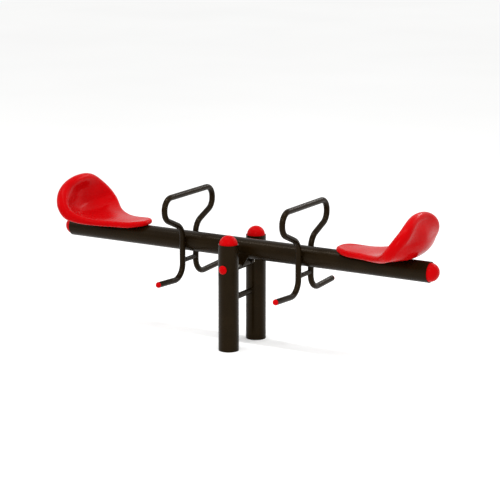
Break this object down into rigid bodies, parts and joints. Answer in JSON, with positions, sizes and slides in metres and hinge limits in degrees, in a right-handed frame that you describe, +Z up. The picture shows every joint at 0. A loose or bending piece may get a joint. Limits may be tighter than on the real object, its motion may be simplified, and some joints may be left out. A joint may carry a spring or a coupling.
{
  "type": "seesaw",
  "caption": "Playground seesaw: a tubular beam pivots on an axle between two short posts and carries dished seats, hoop handles with footrests and domed end caps.",
  "frame": {"origin": "on the ground, midway between the two posts, straight under the pivot", "axes": "+X along the level beam towards the seat called right, +Y across the beam towards the back post, +Z up"},
  "size_m": [2.41, 0.666, 0.8701],
  "materials": {
    "coated_steel": "dark brown powder coat, semi-gloss, fine texture",
    "red_seat": "glossy red moulded plastic",
    "red_plug": "satin red moulded plastic",
    "zinc_steel": "zinc plated",
    "bearing_plastic": "natural self-lubricating plastic",
    "insert_brass": "plain"
  },
  "bodies": {
    "base": {"post_front": "coated_steel", "post_back": "coated_steel", "post_foot_disc_front": "coated_steel", "post_foot_disc_back": "coated_steel", "post_cap_front": "red_plug", "post_cap_back": "red_plug", "lower_rung": "coated_steel", "axle": "zinc_steel", "axle_washers": "zinc_steel", "axle_nuts": "zinc_steel", "thrust_washers": "bearing_plastic", "axle_sleeve_front": "coated_steel", "axle_sleeve_back": "coated_steel", "axle_cap_front": "red_plug", "axle_cap_back": "red_plug"},
    "beam": {"beam": "coated_steel", "beam_cap_left": "red_plug", "beam_cap_right": "red_plug", "pivot_tube": "coated_steel", "pivot_gussets": "coated_steel", "pivot_bush_front": "bearing_plastic", "pivot_bush_back": "bearing_plastic", "handle_left": "coated_steel", "handle_brace_left": "coated_steel", "footrest_plug_left_front": "red_plug", "footrest_plug_left_back": "red_plug", "seat_left": "red_seat", "seat_inserts_left": "insert_brass", "seat_plate_left": "coated_steel", "seat_webs_left": "coated_steel", "seat_washers_left": "zinc_steel", "seat_bolts_left": "zinc_steel", "handle_right": "coated_steel", "handle_brace_right": "coated_steel", "footrest_plug_right_front": "red_plug", "footrest_plug_right_back": "red_plug", "seat_right": "red_seat", "seat_inserts_right": "insert_brass", "seat_plate_right": "coated_steel", "seat_webs_right": "coated_steel", "seat_washers_right": "zinc_steel", "seat_bolts_right": "zinc_steel"}
  },
  "joints": [
    {"name": "beam_pivot", "type": "hinge", "parent": "base", "child": "beam", "pos_m": [0, 0, 0.47], "axis": [0, 1, 0], "range_deg": [-24, 24]}
  ]
}
